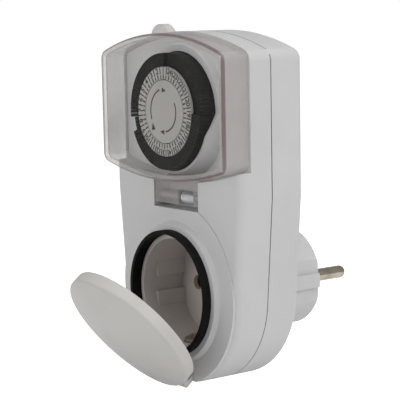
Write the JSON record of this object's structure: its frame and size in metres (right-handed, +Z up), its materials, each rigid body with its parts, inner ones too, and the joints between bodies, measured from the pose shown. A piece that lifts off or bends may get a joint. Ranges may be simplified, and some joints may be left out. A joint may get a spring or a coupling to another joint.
{
  "type": "plug-in timer switch",
  "caption": "Outdoor plug-in timer switch with a day dial of push keys under a clear sprung lid, above an earthed socket with a hinged round flap.",
  "frame": {"origin": "centre of the plug's face, midway between the two pins", "axes": "+Y out of the back along the plug pins, +X to the right of someone who faces the dial, +Z up"},
  "size_m": [0.075, 0.1109, 0.1297],
  "materials": {
    "shell": "fine satin light grey plastic",
    "clear_cover": "clear polycarbonate",
    "flap": "fine satin light grey plastic",
    "socket": "satin warm grey plastic",
    "seal_rubber": "dull soft rubber",
    "dial_grey": "matt mid grey plastic",
    "dial_black": "matt black plastic",
    "gear_plastic": "natural moulded plastic",
    "movement": "moulded plastic",
    "motor_steel": "plated sheet steel",
    "coil": "enamelled copper winding",
    "magnet": "dark ferrite",
    "switch_black": "glossy black plastic",
    "brass": "pressed brass",
    "nickel": "nickel plated brass",
    "steel": "zinc plated steel",
    "spring_wire": "bright spring steel"
  },
  "bodies": {
    "housing": {"front_housing": "shell", "rear_housing": "shell", "housing_gasket": "seal_rubber", "housing_screws": "steel", "cover_hinge_pin": "steel", "cover_spring": "spring_wire", "flap_hinge_pin": "steel", "socket_cup": "socket", "socket_seal": "seal_rubber", "live_contact": "brass", "neutral_contact": "brass", "live_pin": "nickel", "neutral_pin": "nickel", "earth_bracket": "nickel", "live_bar": "brass", "neutral_bar": "brass", "switched_bar": "brass", "centre_disc": "dial_grey", "dial_axle": "gear_plastic", "first_axle": "steel", "second_axle": "steel", "movement_plate": "movement", "movement_screws": "steel", "motor_can": "motor_steel", "motor_coil": "coil", "lever_pin": "steel", "switch_case": "switch_black", "switch_terminals": "brass"},
    "cover": {"dial_cover": "clear_cover"},
    "flap": {"socket_flap": "flap"},
    "dial": {"hour_ring": "dial_grey", "dial_drum": "dial_black", "dial_gear": "gear_plastic", "tappets_off": "dial_black", "tappets_on": "dial_black"},
    "second_wheel": {"second_wheel": "gear_plastic"},
    "first_wheel": {"first_wheel": "gear_plastic"},
    "rotor": {"motor_rotor": "magnet"},
    "lever": {"trip_lever": "gear_plastic"},
    "plunger": {"switch_plunger": "gear_plastic"},
    "tappet_1": {"tappet_1": "dial_black"},
    "tappet_2": {"tappet_2": "dial_black"},
    "tappet_3": {"tappet_3": "dial_black"},
    "tappet_4": {"tappet_4": "dial_black"}
  },
  "joints": [
    {"name": "cover_hinge", "type": "hinge", "parent": "housing", "child": "cover", "pos_m": [0, -0.05, 0.0344], "axis": [1, 0, 0], "range_deg": [0, 80], "stiffness_Nm_per_rad": 0.006, "springref_deg": -34.38},
    {"name": "flap_hinge", "type": "hinge", "parent": "housing", "child": "flap", "pos_m": [0, -0.0516, -0.0298], "axis": [1, 0, 0], "range_deg": [-38, 52]},
    {"name": "dial_spin", "type": "hinge", "parent": "housing", "child": "dial", "pos_m": [0, -0.05, 0.0653], "axis": [0, 1, 0], "continuous": true},
    {"name": "second_wheel_spin", "type": "hinge", "parent": "housing", "child": "second_wheel", "pos_m": [0.01762, -0.041, 0.05052], "axis": [0, 1, 0], "continuous": true},
    {"name": "first_wheel_spin", "type": "hinge", "parent": "housing", "child": "first_wheel", "pos_m": [0.00262, -0.039, 0.05052], "axis": [0, 1, 0], "continuous": true},
    {"name": "rotor_spin", "type": "hinge", "parent": "housing", "child": "rotor", "pos_m": [-0.01037, -0.033, 0.05802], "axis": [0, 1, 0], "continuous": true},
    {"name": "lever_pivot", "type": "hinge", "parent": "housing", "child": "lever", "pos_m": [-0.0236, -0.0409, 0.0653], "axis": [0, 0, 1], "range_deg": [0, 8]},
    {"name": "plunger_slide", "type": "slide", "parent": "housing", "child": "plunger", "axis": [0, -1, 0], "range_m": [0, 0.0007]},
    {"name": "tappet_1_slide", "type": "slide", "parent": "dial", "child": "tappet_1", "axis": [0, 1, 0], "range_m": [-0.0016, 0]},
    {"name": "tappet_2_slide", "type": "slide", "parent": "dial", "child": "tappet_2", "axis": [0, 1, 0], "range_m": [-0.0016, 0]},
    {"name": "tappet_3_slide", "type": "slide", "parent": "dial", "child": "tappet_3", "axis": [0, 1, 0], "range_m": [-0.0016, 0]},
    {"name": "tappet_4_slide", "type": "slide", "parent": "dial", "child": "tappet_4", "axis": [0, 1, 0], "range_m": [-0.0016, 0]}
  ],
  "couplings": [
    {"joint": "second_wheel_spin", "follows": "dial_spin", "ratio": -6.6667},
    {"joint": "first_wheel_spin", "follows": "dial_spin", "ratio": 26.667},
    {"joint": "rotor_spin", "follows": "dial_spin", "ratio": -106.67},
    {"joint": "plunger_slide", "follows": "lever_pivot", "m_per_rad": 0.0049}
  ]
}
